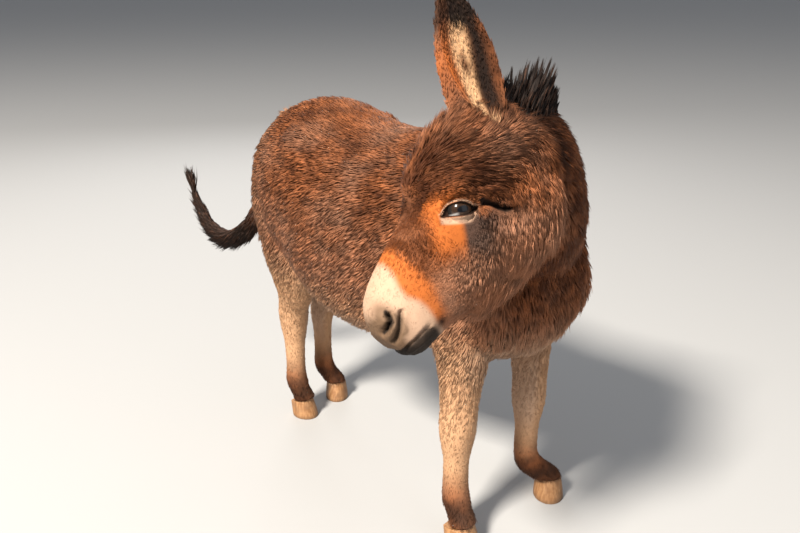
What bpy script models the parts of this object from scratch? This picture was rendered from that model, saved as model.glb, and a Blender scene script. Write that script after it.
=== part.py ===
"""A miniature donkey at life size, 0.86 m at the withers, its head turned right and its tail swung out.

Metres, +Z up. The donkey faces -Y, so its left side is towards +X. The body is lofted from sections, fused
into one skin, and parted with thin cuts where its parts are named. The outline is that of the coat.
"""
import math

import bmesh
import bpy
import numpy as np
from mathutils import Matrix, Vector

# Driving dimensions
EAR_LENGTH = 0.215
EYE_RADIUS = 0.0195
GAP = 0.0004  # between neighbouring pieces
VOXEL = 0.0062  # grid of the fused body
BODY_TRIANGLES = 4750

# The head's own frame: x from poll to nose, y to its left, z out of the forehead
EYE = Vector((0.155, 0.0775, -0.033))  # the left one; the right one mirrors it
POLL = Vector((-0.248, -0.431, 0.931))
NOSEWARD = Vector((-0.728, 0.007, -0.685))
HEAD_LEFT = Vector((-0.347, -0.866, 0.361))

# Each leg: side of the body, plan of the hoof, plan of the knee or hock, and degrees that the toe turns out
LEGS = {
    "foreleg_right": (-1, Vector((-0.120, -0.316, 0)), Vector((-0.117, -0.290, 0)), 6),
    "foreleg_left": (1, Vector((0.154, -0.332, 0)), Vector((0.100, -0.300, 0)), 42),
    "hindleg_right": (-1, Vector((-0.044, 0.353, 0)), Vector((-0.058, 0.366, 0)), 10),
    "hindleg_left": (1, Vector((0.082, 0.373, 0)), Vector((0.056, 0.396, 0)), 34),
}
ELBOW = Vector((0.106, -0.290, 0))
HIP = Vector((0.088, 0.312, 0))
CORONET = 0.046  # height of the hoof's upper edge at its middle
HOOF_SLOPE = math.radians(14)  # the upper edge falls towards the heel
UP = Vector((0, 0, 1))


def clear_scene():
    for obj in list(bpy.data.objects):
        bpy.data.objects.remove(obj)


def head_matrix():
    """From the head's own frame to the world."""
    x = NOSEWARD.normalized()
    y = (HEAD_LEFT - HEAD_LEFT.dot(x) * x).normalized()
    z = x.cross(y)
    return Matrix.Translation(POLL) @ Matrix((x, y, z)).transposed().to_4x4()


# Lofts: a row of sections, interpolated smoothly and closed at both ends


def smooth_rows(rows, steps):
    """Rows of numbers, with steps - 1 more on a Catmull-Rom curve between each two."""
    rows = np.array(rows, float)
    padded = np.vstack([2 * rows[0] - rows[1], rows, 2 * rows[-1] - rows[-2]])
    out = []
    for i in range(1, len(padded) - 2):
        a, b, c, d = padded[i - 1 : i + 3]
        for k in range(steps):
            t = k / steps
            bend = (2 * a - 5 * b + 4 * c - d) * t**2 + (3 * b - a - 3 * c + d) * t**3
            out.append(b + 0.5 * ((c - a) * t + bend))
    out.append(rows[-1])
    return np.array(out)


def section(centre, side, up, row, count):
    """A closed outline of count points; row is half width, rise, drop, squareness and taper downwards."""
    width, rise, drop, power, taper = row
    points = []
    for k in range(count):
        angle = 2 * math.pi * k / count
        c, s = math.cos(angle), math.sin(angle)
        across = math.copysign(abs(c) ** (2 / power), c)
        height = math.copysign(abs(s) ** (2 / power), s)
        reach = width * across * (1 + taper * height)
        lift = height * (rise if s > 0 else drop)
        points.append(centre + side * reach + up * lift)
    return points


def loft(bm, sections):
    """Joins outlines of equal count into a closed tube with a pole at each end."""
    rings = [[bm.verts.new(p) for p in outline] for outline in sections]
    count = len(rings[0])
    for low, high in zip(rings, rings[1:]):
        for k in range(count):
            j = (k + 1) % count
            bm.faces.new((low[k], low[j], high[j], high[k]))
    for ring, turn in ((rings[0], -1), (rings[-1], 1)):
        pole = bm.verts.new(sum((v.co for v in ring), Vector()) / count)
        for k in range(count):
            j = (k + 1) % count
            bm.faces.new((ring[k], ring[j], pole)[::turn])


def path_loft(bm, rows, steps, count, side_hint=None):
    """A loft along a path, upright unless side_hint turns it. A row is x, y, z and what section takes."""
    rows = smooth_rows(rows, steps)
    centres = [Vector(row[:3]) for row in rows]
    sections = []
    for i, row in enumerate(rows):
        tangent = (centres[min(i + 1, len(rows) - 1)] - centres[max(i - 1, 0)]).normalized()
        if side_hint is None:
            up = (UP - UP.dot(tangent) * tangent).normalized()
            side = up.cross(tangent)
        else:
            side = (side_hint - side_hint.dot(tangent) * tangent).normalized()
            up = tangent.cross(side)
        sections.append(section(centres[i], side, up, row[3:], count))
    loft(bm, sections)


def mesh_object(name, bm):
    bmesh.ops.recalc_face_normals(bm, faces=bm.faces)
    mesh = bpy.data.meshes.new(name)
    bm.to_mesh(mesh)
    bm.free()
    obj = bpy.data.objects.new(name, mesh)
    bpy.context.scene.collection.objects.link(obj)
    return obj


def ellipsoid(bm, centre, radii, turn=Matrix.Identity(4)):
    """A muscle or a swelling: an ellipsoid at centre, in the frame that turn gives."""
    placed = turn @ Matrix.Translation(centre) @ Matrix.Diagonal((*radii, 1))
    bmesh.ops.create_icosphere(bm, subdivisions=3, radius=1, matrix=placed)


# Body


def trunk(bm):
    """From breast to buttocks: y, top, bottom, half width, height of the widest line, power, taper."""
    stations = (
        (-0.440, 0.690, 0.505, 0.070, 0.600, 2.0, 0.00),
        (-0.405, 0.760, 0.455, 0.118, 0.600, 2.1, -0.05),
        (-0.340, 0.820, 0.420, 0.142, 0.590, 2.2, -0.10),
        (-0.250, 0.858, 0.400, 0.156, 0.580, 2.1, -0.14),
        (-0.140, 0.852, 0.380, 0.182, 0.575, 2.1, -0.10),
        (0.000, 0.836, 0.366, 0.205, 0.580, 2.2, -0.06),
        (0.120, 0.846, 0.378, 0.206, 0.590, 2.2, -0.04),
        (0.220, 0.872, 0.424, 0.190, 0.620, 2.2, 0.00),
        (0.310, 0.866, 0.485, 0.174, 0.655, 2.2, 0.00),
        (0.390, 0.824, 0.530, 0.142, 0.680, 2.1, 0.00),
        (0.450, 0.755, 0.580, 0.090, 0.670, 2.0, 0.00),
    )
    outlines = []
    for y, top, bottom, width, middle, power, taper in smooth_rows(stations, 3):
        row = (width, top - middle, middle - bottom, power, taper)
        outlines.append(section(Vector((0, y, middle)), Vector((1, 0, 0)), UP, row, 32))
    loft(bm, outlines)
    for side in (-1, 1):
        lean = Matrix.Rotation(math.radians(-22), 4, "X")
        blade = Matrix.Translation((side * 0.098, -0.275, 0.640)) @ lean
        ellipsoid(bm, (0, 0, 0), (0.066, 0.094, 0.195), blade)
        ellipsoid(bm, (side * 0.098, -0.360, 0.560), (0.060, 0.066, 0.098))
        ellipsoid(bm, (side * 0.110, 0.205, 0.745), (0.060, 0.095, 0.090))


def neck(bm):
    """From inside the shoulders to inside the skull."""
    path_loft(
        bm,
        (
            (0.000, -0.200, 0.650, 0.125, 0.190, 0.170, 2.0, -0.15),
            (-0.005, -0.295, 0.705, 0.127, 0.168, 0.165, 2.0, -0.20),
            (-0.045, -0.370, 0.770, 0.113, 0.150, 0.150, 2.1, -0.20),
            (-0.115, -0.415, 0.825, 0.096, 0.128, 0.130, 2.1, -0.15),
            (-0.215, -0.430, 0.860, 0.074, 0.095, 0.110, 2.1, -0.10),
        ),
        steps=4,
        count=28,
    )


def head(bm, place):
    """From the nape to the lips: x, top, bottom, half width, height of the widest line, power, taper."""
    stations = (
        (-0.040, 0.000, -0.105, 0.060, -0.055, 2.0, 0.00),
        (-0.010, 0.020, -0.160, 0.080, -0.060, 2.1, 0.00),
        (0.040, 0.034, -0.190, 0.092, -0.065, 2.1, 0.00),
        (0.090, 0.038, -0.204, 0.098, -0.065, 2.2, 0.04),
        (0.140, 0.028, -0.204, 0.098, -0.060, 2.3, 0.10),
        (0.190, 0.009, -0.194, 0.084, -0.060, 2.3, 0.12),
        (0.235, 0.006, -0.172, 0.066, -0.062, 2.1, 0.08),
        (0.275, 0.003, -0.146, 0.057, -0.066, 2.1, 0.02),
        (0.310, -0.004, -0.135, 0.055, -0.070, 2.2, -0.02),
        (0.342, -0.019, -0.124, 0.051, -0.074, 2.3, -0.05),
        (0.364, -0.050, -0.101, 0.036, -0.078, 2.2, -0.05),
    )
    side, up = place.to_3x3() @ Vector((0, 1, 0)), place.to_3x3() @ Vector((0, 0, 1))
    outlines = []
    for x, top, bottom, width, middle, power, taper in smooth_rows(stations, 3):
        row = (width, top - middle, middle - bottom, power, taper)
        outlines.append(section(place @ Vector((x, 0, middle)), side, up, row, 28))
    loft(bm, outlines)
    for left in (-1, 1):
        ellipsoid(bm, (0.095, left * 0.062, -0.120), (0.090, 0.042, 0.074), place)  # cheek
        ellipsoid(bm, (0.138, left * 0.078, -0.012), (0.046, 0.022, 0.020), place)  # brow
        ellipsoid(bm, (0.334, left * 0.034, -0.056), (0.024, 0.020, 0.024), place)  # nostril wing
    ellipsoid(bm, (0.326, 0, -0.110), (0.033, 0.036, 0.023), place)  # chin
    ellipsoid(bm, (0.075, 0, 0.016), (0.092, 0.072, 0.041), place)  # forelock


def toe_turn(side, toe_out, share=1):
    return Matrix.Rotation(-side * math.radians(toe_out) * share, 3, "Z")


def leg(bm, stations, name, top):
    """A station: height, place (hoof 0, knee or hock 1, top 2), half width, fore, back, power."""
    side, foot, joint, toe_out = LEGS[name]
    top = Vector((side * top.x, top.y, 0))
    rows = []
    for z, place, width, fore, back, power in stations:
        centre = foot.lerp(joint, place) if place < 1 else joint.lerp(top, place - 1)
        rows.append((centre.x, centre.y, z, width, fore, back, power, 0))
    path_loft(bm, rows, steps=3, count=20, side_hint=toe_turn(side, toe_out, 0.6) @ Vector((-1, 0, 0)))


def foreleg(bm, name):
    """From inside the hoof to inside the shoulder."""
    stations = (
        (0.020, -0.10, 0.0280, 0.031, 0.026, 2.0),
        (0.050, 0.05, 0.0310, 0.033, 0.032, 2.1),
        (0.072, 0.40, 0.0270, 0.029, 0.030, 2.0),
        (0.100, 0.88, 0.0295, 0.031, 0.036, 2.1),
        (0.135, 1.00, 0.0265, 0.027, 0.032, 2.0),
        (0.195, 1.00, 0.0265, 0.027, 0.032, 2.0),
        (0.235, 1.00, 0.0335, 0.034, 0.037, 2.2),
        (0.272, 1.02, 0.0375, 0.040, 0.040, 2.3),
        (0.310, 1.15, 0.0370, 0.041, 0.041, 2.1),
        (0.370, 1.50, 0.0405, 0.047, 0.048, 2.0),
        (0.440, 1.90, 0.0480, 0.058, 0.066, 2.0),
        (0.520, 2.00, 0.0540, 0.072, 0.082, 2.0),
        (0.600, 2.00, 0.0500, 0.080, 0.085, 2.0),
    )
    leg(bm, stations, name, ELBOW)


def hindleg(bm, name):
    """From inside the hoof to inside the hip, with the point of the hock behind."""
    stations = (
        (0.020, -0.10, 0.0260, 0.029, 0.024, 2.0),
        (0.050, 0.05, 0.0295, 0.031, 0.030, 2.1),
        (0.075, 0.50, 0.0250, 0.027, 0.029, 2.0),
        (0.105, 0.95, 0.0280, 0.030, 0.036, 2.1),
        (0.145, 1.00, 0.0245, 0.026, 0.031, 2.0),
        (0.215, 1.00, 0.0250, 0.028, 0.034, 2.0),
        (0.262, 1.00, 0.0310, 0.036, 0.042, 2.2),
        (0.305, 1.10, 0.0340, 0.042, 0.050, 2.1),
        (0.345, 1.35, 0.0335, 0.046, 0.050, 2.0),
        (0.400, 1.75, 0.0440, 0.064, 0.058, 2.0),
        (0.460, 1.95, 0.0580, 0.088, 0.076, 2.0),
        (0.540, 2.00, 0.0700, 0.118, 0.096, 2.0),
        (0.630, 2.00, 0.0760, 0.128, 0.114, 2.1),
        (0.720, 2.00, 0.0700, 0.110, 0.105, 2.0),
    )
    leg(bm, stations, name, HIP)


TAIL = (
    (0.000, 0.405, 0.800, 0.034, 0.030, 0.034, 2.0, 0),
    (0.000, 0.455, 0.775, 0.030, 0.027, 0.030, 2.0, 0),
    (-0.004, 0.490, 0.725, 0.024, 0.022, 0.024, 2.0, 0),
    (-0.014, 0.510, 0.650, 0.019, 0.018, 0.019, 2.0, 0),
    (-0.032, 0.525, 0.575, 0.019, 0.019, 0.020, 2.0, 0),
    (-0.066, 0.545, 0.505, 0.024, 0.022, 0.024, 2.0, 0),
    (-0.098, 0.590, 0.470, 0.024, 0.022, 0.024, 2.0, 0),
    (-0.116, 0.650, 0.482, 0.020, 0.019, 0.020, 2.0, 0),
    (-0.119, 0.705, 0.530, 0.014, 0.014, 0.014, 2.0, 0),
    (-0.116, 0.742, 0.585, 0.007, 0.007, 0.007, 2.0, 0),
    (-0.113, 0.757, 0.622, 0.002, 0.002, 0.002, 2.0, 0),
)


def tail(bm):
    path_loft(bm, TAIL, steps=4, count=14, side_hint=Vector((1, 0.3, 0.2)))


# Pieces of their own


def ear(name, place, base, aim, opening):
    """A scoop: crescent sections along the ear, with its mouth towards opening, all in the head's frame."""
    aim, opening = aim.normalized(), (opening - opening.dot(aim) * aim).normalized()
    across = opening.cross(aim)
    stations = (  # share of the length, half width, depth of the scoop, wall
        (-0.10, 0.020, 0.016, 0.0100),
        (0.06, 0.026, 0.022, 0.0080),
        (0.22, 0.035, 0.026, 0.0065),
        (0.45, 0.041, 0.025, 0.0060),
        (0.68, 0.035, 0.019, 0.0055),
        (0.86, 0.021, 0.010, 0.0045),
        (0.98, 0.006, 0.003, 0.0035),
    )
    arc, count = math.radians(205), 11
    bm = bmesh.new()
    outlines = []
    for share, width, depth, wall in smooth_rows(stations, 2):
        spread = arc * (1 - 0.28 * max(share, 0))
        centre = base + aim * (share * EAR_LENGTH) + opening * (0.008 * share**2)
        outer, inner = [], []
        for k in range(count):
            angle = (k / (count - 1) - 0.5) * spread
            direction = across * math.sin(angle) * width - opening * math.cos(angle) * depth
            normal = (across * math.sin(angle) * depth - opening * math.cos(angle) * width).normalized()
            outer.append(place @ (centre + direction))
            inner.append(place @ (centre + direction - normal * wall))
        outlines.append(outer + inner[::-1])
    loft(bm, outlines)
    return mesh_object(name, bm)


def mane():
    """The upright crest of hair from between the ears down to the withers."""
    bm = bmesh.new()
    path_loft(
        bm,
        (
            (-0.228, -0.448, 0.948, 0.010, 0.020, 0.020, 2.0, 0),
            (-0.192, -0.452, 0.960, 0.018, 0.040, 0.034, 2.0, 0),
            (-0.128, -0.450, 0.957, 0.022, 0.050, 0.040, 2.0, 0),
            (-0.066, -0.424, 0.940, 0.024, 0.050, 0.044, 2.0, 0),
            (-0.024, -0.360, 0.908, 0.022, 0.044, 0.044, 2.0, 0),
            (-0.004, -0.285, 0.874, 0.014, 0.026, 0.034, 2.0, 0),
            (0.000, -0.220, 0.852, 0.006, 0.010, 0.012, 2.0, 0),
        ),
        steps=2,
        count=12,
    )
    return mesh_object("mane", bm)


def hoof(name, leg_name):
    """A blunt upright hoof: flat sole at z = 0 and a slanting upper edge that meets the leg."""
    side, foot, _, toe_out = LEGS[leg_name]
    length, width = (0.038, 0.032) if "hind" in name else (0.041, 0.035)
    bm = bmesh.new()
    rings = []
    for level, grow, slide in ((0, 1.0, 0.0), (0.012, 0.99, 0.002), (1, 0.86, 0.012)):
        ring = []
        for k in range(20):
            angle = 2 * math.pi * k / 20
            across = math.cos(angle) * width * grow
            along = min(math.sin(angle) * length * grow, 0.80 * length * grow) + slide
            top = CORONET - 0.5 * GAP - math.tan(HOOF_SLOPE) * (along - 0.008)
            point = foot + toe_turn(side, toe_out) @ Vector((across, along, 0))
            point.z = top if level == 1 else level
            ring.append(bm.verts.new(point))
        rings.append(ring)
    for low, high in zip(rings, rings[1:]):
        for k in range(20):
            j = (k + 1) % 20
            bm.faces.new((low[k], low[j], high[j], high[k]))
    bm.faces.new(rings[0][::-1])
    bm.faces.new(rings[-1])
    return mesh_object(name, bm)


# Fusing and parting


def with_modifiers(obj):
    """Applies an object's modifiers."""
    graph = bpy.context.evaluated_depsgraph_get()
    mesh = bpy.data.meshes.new_from_object(obj.evaluated_get(graph))
    obj.modifiers.clear()
    obj.data = mesh
    return obj


def fuse(obj):
    """Makes overlapping lofts one even skin, melts their joins, and thins it to the budget."""
    remesh = obj.modifiers.new("remesh", "REMESH")
    remesh.mode, remesh.voxel_size = "VOXEL", VOXEL
    smooth = obj.modifiers.new("smooth", "SMOOTH")
    smooth.factor, smooth.iterations = 0.5, 9
    with_modifiers(obj)
    obj.data.calc_loop_triangles()
    thin = obj.modifiers.new("thin", "DECIMATE")
    thin.ratio = BODY_TRIANGLES / len(obj.data.loop_triangles)
    return with_modifiers(obj)


def grown(obj, by=GAP):
    """A copy swollen along its normals, to cut neighbours with."""
    copy = bpy.data.objects.new(obj.name + "_grown", obj.data.copy())
    bpy.context.scene.collection.objects.link(copy)
    swell = copy.modifiers.new("swell", "DISPLACE")
    swell.mid_level, swell.strength = 0, by
    with_modifiers(copy)
    return copy


def cut(obj, *cutters):
    """Takes the cutters out of an object and removes them."""
    for cutter in cutters:
        boolean = obj.modifiers.new("cut", "BOOLEAN")
        boolean.operation, boolean.object, boolean.solver = "DIFFERENCE", cutter, "EXACT"
        with_modifiers(obj)
    for cutter in cutters:
        bpy.data.objects.remove(cutter)
    return obj


def slab(centre, normal, reach):
    """A thin disc: the saw cut between two parts."""
    bm = bmesh.new()
    turn = UP.rotation_difference(Vector(normal)).to_matrix().to_4x4()
    shape = {"segments": 24, "radius1": reach, "radius2": reach, "depth": GAP, "cap_ends": True}
    bmesh.ops.create_cone(bm, matrix=Matrix.Translation(centre) @ turn, **shape)
    return mesh_object("saw", bm)


def loose_parts(obj):
    """The closed bodies of a mesh, largest first, each as a list of its faces' vertex places."""
    bm = bmesh.new()
    bm.from_mesh(obj.data)
    bm.faces.ensure_lookup_table()
    seen, parts = set(), []
    for start in bm.faces:
        if start.index in seen:
            continue
        stack, faces = [start], []
        seen.add(start.index)
        while stack:
            face = stack.pop()
            faces.append(face.index)
            for edge in face.edges:
                for other in edge.link_faces:
                    if other.index not in seen:
                        seen.add(other.index)
                        stack.append(other)
        parts.append(faces)
    bm.free()
    return sorted(parts, key=len, reverse=True)


def take_part(obj, faces, name):
    """A new object from some of a mesh's faces."""
    bm = bmesh.new()
    bm.from_mesh(obj.data)
    bm.faces.ensure_lookup_table()
    keep = set(faces)
    bmesh.ops.delete(bm, geom=[f for f in bm.faces if f.index not in keep], context="FACES")
    return mesh_object(name, bm)


def part_body(body, seeds):
    """Splits the sawn body and names each piece after the seed point that is nearest its middle."""
    found = {}
    for faces in loose_parts(body)[: len(seeds)]:
        corners = [body.data.vertices[v].co for f in faces for v in body.data.polygons[f].vertices]
        middle = sum(corners, Vector()) / len(corners)
        name = min(seeds, key=lambda n: (seeds[n] - middle).length)
        found[name] = take_part(body, faces, name)
    bpy.data.objects.remove(body)
    return found


def keep_largest(obj):
    """Drops the crumbs that a cut can leave."""
    name = obj.name
    obj.name = "whole"
    kept = take_part(obj, loose_parts(obj)[0], name)
    bpy.data.objects.remove(obj)
    return kept


# Colours


def material(name, colour, roughness):
    made = bpy.data.materials.new(name)
    made.use_nodes = True
    shader = made.node_tree.nodes["Principled BSDF"]
    shader.inputs["Base Color"].default_value = (*colour, 1)
    shader.inputs["Roughness"].default_value = roughness
    return made


def paint(objects):
    coat = material("brown_coat", (0.16, 0.075, 0.045), 0.85)
    dark = material("dark_hair", (0.030, 0.020, 0.018), 0.80)
    horn = material("hoof_horn", (0.36, 0.17, 0.08), 0.55)
    wet = material("dark_eye", (0.015, 0.010, 0.008), 0.08)
    for name, obj in objects.items():
        kind = horn if "hoof" in name else wet if "eye" in name else coat
        if name in ("mane", "tail_switch"):
            kind = dark
        obj.data.materials.clear()
        obj.data.materials.append(kind)
        obj.data.shade_smooth()


def settle(objects):
    """Puts the origin under the middle of the whole model's box, on the floor."""
    corners = [v.co for obj in objects.values() for v in obj.data.vertices]
    low = [min(c[i] for c in corners) for i in range(3)]
    high = [max(c[i] for c in corners) for i in range(3)]
    shift = Matrix.Translation((-(low[0] + high[0]) / 2, -(low[1] + high[1]) / 2, 0))
    for obj in objects.values():
        obj.data.transform(shift)


def build_body(place):
    bm = bmesh.new()
    trunk(bm)
    neck(bm)
    head(bm, place)
    tail(bm)
    for name in LEGS:
        (hindleg if "hind" in name else foreleg)(bm, name)
    body = fuse(mesh_object("body", bm))
    return cut(body, *face_hollows(place))


def ball(centre, radii, turn, detail=2):
    bm = bmesh.new()
    matrix = Matrix.Translation(centre) @ turn @ Matrix.Diagonal((*radii, 1))
    bmesh.ops.create_icosphere(bm, subdivisions=detail, radius=1, matrix=matrix)
    return mesh_object("ball", bm)


def face_hollows(place):
    """Cutters for the eye sockets, the slits between the lids, and the nostrils."""
    cutters = []
    turned = place.to_3x3()
    for left in (-1, 1):
        eye = place @ Vector((EYE.x, left * EYE.y, EYE.z))
        cutters.append(ball(eye, (EYE_RADIUS + GAP,) * 3, turned.to_4x4(), 3))
        fissure = turned @ Vector((0.79, left * -0.10, 0.60))
        outward = turned @ Vector((0.10, left, 0.05)).normalized()
        cutters.append(ball(eye + 0.018 * outward, (0.024, 0.012, 0.012), frame_of(fissure, outward)))
        nostril = place @ Vector((0.347, left * 0.054, -0.043))
        along = turned @ Vector((0.75, left * -0.25, -0.60))
        facing = turned @ Vector((0.35, left, 0.15))
        cutters.append(ball(nostril, (0.016, 0.012, 0.0045), frame_of(along, facing)))
    return cutters


def frame_of(x, y):
    """A turn whose x axis is along x, and whose y axis is as near y as it can be."""
    x = x.normalized()
    y = (y - y.dot(x) * x).normalized()
    return Matrix((x, y, x.cross(y))).transposed().to_4x4()


def eyeball(name, place, left):
    bm = bmesh.new()
    centre = place @ Vector((EYE.x, left * EYE.y, EYE.z))
    axis = place.to_3x3() @ Vector((0.1, left, 0.05))
    turn = UP.rotation_difference(axis).to_matrix().to_4x4()
    matrix = Matrix.Translation(centre) @ turn
    bmesh.ops.create_uvsphere(bm, u_segments=16, v_segments=10, radius=EYE_RADIUS, matrix=matrix)
    return mesh_object(name, bm)


def both_ears(place):
    """Each rises from beside the poll: its base, its aim and the way that its mouth faces."""
    lie = {
        "ear_left": ((0.000, 0.064, -0.004), (-0.42, 0.16, 0.86), (0.22, 0.89, -0.15)),
        "ear_right": ((-0.006, -0.048, 0.002), (-0.66, 0.10, 0.75), (0.30, -0.89, 0.15)),
    }
    return [ear(name, place, *(Vector(v) for v in vectors)) for name, vectors in lie.items()]


def saw_cuts(place):
    """Thin cuts through the neck, the tail and each leg, and the middle of each piece that they leave."""
    cuts = [
        slab((-0.004, -0.340, 0.700), (-0.10, -0.80, 0.60), 0.250),
        slab((-0.193, -0.450, 0.865), (-0.98, -0.16, 0.05), 0.190),
        slab((-0.006, 0.497, 0.712), (-0.12, 0.30, -0.94), 0.046),
        slab((-0.036, 0.528, 0.562), (0.4, -0.25, 0.88), 0.046),
    ]
    middles = {
        "head": place @ Vector((0.17, 0, -0.08)),
        "neck": Vector((-0.09, -0.40, 0.82)),
        "trunk": Vector((0, 0.02, 0.62)),
        "tail_dock": Vector((-0.02, 0.515, 0.64)),
        "tail_switch": Vector((-0.10, 0.62, 0.50)),
    }
    for name, (side, foot, joint, toe_out) in LEGS.items():
        top = HIP if "hind" in name else ELBOW
        height, tilt, reach = (0.425, -0.30, 0.100) if "hind" in name else (0.400, -0.25, 0.075)
        cuts.append(slab((side * top.x, top.y + 0.01, height), (side * tilt, 0.05, 1), reach))
        turn = toe_turn(side, toe_out)
        edge = foot + turn @ Vector((0, 0.008, 0)) + Vector((0, 0, CORONET))
        cuts.append(slab(edge, turn @ Vector((0, math.sin(HOOF_SLOPE), math.cos(HOOF_SLOPE))), 0.055))
        middles[name] = joint + Vector((0, 0, 0.22))
        middles[name + "_core"] = foot + Vector((0, 0, 0.02))
    return cuts, middles


def main():
    clear_scene()
    place = head_matrix()
    body = build_body(place)
    ears = both_ears(place)
    crest = mane()
    for each in ears:
        cut(crest, grown(each))
        cut(each, grown(body))
    cut(crest, grown(body))
    cuts, middles = saw_cuts(place)
    pieces = part_body(cut(body, *cuts), middles)
    for name in LEGS:
        bpy.data.objects.remove(pieces.pop(name + "_core"))
        pieces[name.replace("leg", "hoof")] = hoof(name.replace("leg", "hoof"), name)
    for name, left in (("eye_left", 1), ("eye_right", -1)):
        pieces[name] = eyeball(name, place, left)
    for obj in (*ears, crest):
        kept = keep_largest(obj)
        pieces[kept.name] = kept
    settle(pieces)
    paint(pieces)


main()
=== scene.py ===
"""The looks of a miniature donkey: one skin under a coat of mesh tufts, with mane, tail, eyes and hooves.

The skin is a fine copy of the flesh, sunk by the depth of the coat and then carved with lids, nostrils and
lips. What varies over the body, such as the length and lie of the hair and the markings, is worked out at the
skin's points and carried to each tuft's root, so that skin and coat wear the same markings.
"""

import math

import bmesh
import bpy
import numpy as np
from mathutils import Matrix, Vector
from mathutils.bvhtree import BVHTree
from mathutils.kdtree import KDTree


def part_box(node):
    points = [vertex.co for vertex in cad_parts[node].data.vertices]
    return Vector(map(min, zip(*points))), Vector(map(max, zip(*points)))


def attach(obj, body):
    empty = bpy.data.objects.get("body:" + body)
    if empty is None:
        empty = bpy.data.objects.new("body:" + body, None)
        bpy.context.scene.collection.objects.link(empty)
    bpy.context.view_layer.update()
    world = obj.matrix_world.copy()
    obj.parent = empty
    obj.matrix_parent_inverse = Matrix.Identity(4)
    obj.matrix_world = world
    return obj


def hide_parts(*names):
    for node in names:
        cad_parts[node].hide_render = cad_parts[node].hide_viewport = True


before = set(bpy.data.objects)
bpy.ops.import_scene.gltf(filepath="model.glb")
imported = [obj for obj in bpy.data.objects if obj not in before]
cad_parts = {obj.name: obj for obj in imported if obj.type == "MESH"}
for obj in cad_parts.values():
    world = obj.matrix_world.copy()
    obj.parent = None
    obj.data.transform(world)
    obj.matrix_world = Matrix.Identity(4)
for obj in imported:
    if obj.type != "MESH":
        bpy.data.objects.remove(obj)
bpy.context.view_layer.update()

LEGS = ("foreleg_left", "foreleg_right", "hindleg_left", "hindleg_right")
EARS = ("ear_left", "ear_right")
FLESH = ("trunk", "neck", "head", "tail_dock", "tail_switch", *EARS, *LEGS)

VOXEL = 0.0042  # grid of the skin
SKIN_FACES = 104000  # of the skin before its face is refined
SEAM = 0.0006  # how far the parts of flesh swell so that their thin gaps close
WELD = 1e-5  # points closer than this are one
ROOT_DEPTH = 0.0012  # how far a tuft's root lies under the skin
PULL = 0.58  # how strongly the tips of a lock draw together

NOSEWARD = Vector((-0.728, 0.007, -0.685))
EYE_RADIUS = 0.0195
OUTER, INNER = -0.0255, 0.0310  # the corners of the eye, along the line between them

# The rest of these are in the head's frame. The left eye, and the places on the left side that need finer
# faces, each with its reach
EYE_IN_HEAD = (0.155, 0.0775, -0.033)
FINE_PLACES = (((0.142, 0.085, -0.047), 0.072), ((0.345, 0.044, -0.066), 0.046))
# The aim of each ear and the way that its mouth faces
EAR_LIE = {
    "ear_left": ((-0.42, 0.16, 0.86), (0.22, 0.89, -0.15)),
    "ear_right": ((-0.66, 0.10, 0.75), (0.30, -0.89, 0.15)),
}
# Where the pale muzzle begins, as z and x, and the line between the lips, as x and z
MUZZLE_EDGE = (
    (-0.11, -0.08, -0.065, -0.045, -0.029, -0.015, 0.003),
    (0.298, 0.291, 0.291, 0.296, 0.290, 0.279, 0.270),
)
LIP_LINE = ((0.295, 0.306, 0.318, 0.339, 0.362), (-0.113, -0.107, -0.101, -0.097, -0.095))
# A dark streak on the neck, beside the mane: partly the mane's dark hair carried down and partly painted
# shade between cheek and neck
STREAK = (
    (-0.098, -0.032, -0.095),
    (-0.078, -0.018, -0.107),
    (-0.064, -0.013, -0.123),
    (-0.050, -0.013, -0.142),
)

CAMERA_PLACE = (-1.0533, -1.368, 1.154)
CAMERA_YAW, CAMERA_PITCH = math.radians(42.5), math.radians(19.89)  # to the right of +y, and down
SENSOR, LENS = 36, 36.68


# Places


def middle(name):
    low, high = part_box(name)
    return (low + high) / 2


def head_frame():
    """(origin, axes) of the head: x from the poll to the nose, y to its left, z out of the forehead."""
    left_eye, right_eye = middle("eye_left"), middle("eye_right")
    y = (left_eye - right_eye).normalized()
    x = (NOSEWARD - NOSEWARD.dot(y) * y).normalized()
    z = x.cross(y)
    origin = (left_eye + right_eye) / 2 - EYE_IN_HEAD[0] * x - EYE_IN_HEAD[2] * z
    return np.array(origin), np.array((x, y, z))


HEAD_ORIGIN, HEAD_AXES = head_frame()


def to_head(points):
    return (points - HEAD_ORIGIN) @ HEAD_AXES.T


def from_head(points):
    return np.asarray(points) @ HEAD_AXES + HEAD_ORIGIN


def range_of(points, place):
    """How far each point is from a place in the head's frame."""
    return np.linalg.norm(points - from_head(place), axis=1)


def unit(vectors):
    length = np.linalg.norm(vectors, axis=-1, keepdims=True)
    return vectors / np.maximum(length, 1e-9)


def ramp(values, low, high):
    """A smooth step from 0 at low to 1 at high, where low may be the larger."""
    t = np.clip((values - low) / (high - low), 0, 1)
    return t * t * (3 - 2 * t)


def bell(distance, width):
    """1 at no distance, falling away smoothly over a width."""
    return np.exp(-((distance / width) ** 2))


def flattened(directions, normals):
    """Directions laid along the surface, as unit vectors."""
    return unit(directions - (directions * normals).sum(axis=1, keepdims=True) * normals)


def within(points, name, margin=0.0):
    """Whether each point is in the box of a node."""
    low, high = (np.array(corner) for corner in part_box(name))
    return ((points > low - margin) & (points < high + margin)).all(axis=1)


# Meshes and arrays


def linked(name, data):
    """A new object in the scene."""
    made = bpy.data.objects.new(name, data)
    bpy.context.scene.collection.objects.link(made)
    return made


def mesh_from(bm, name):
    mesh = bpy.data.meshes.new(name)
    bm.to_mesh(mesh)
    bm.free()
    return mesh


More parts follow.
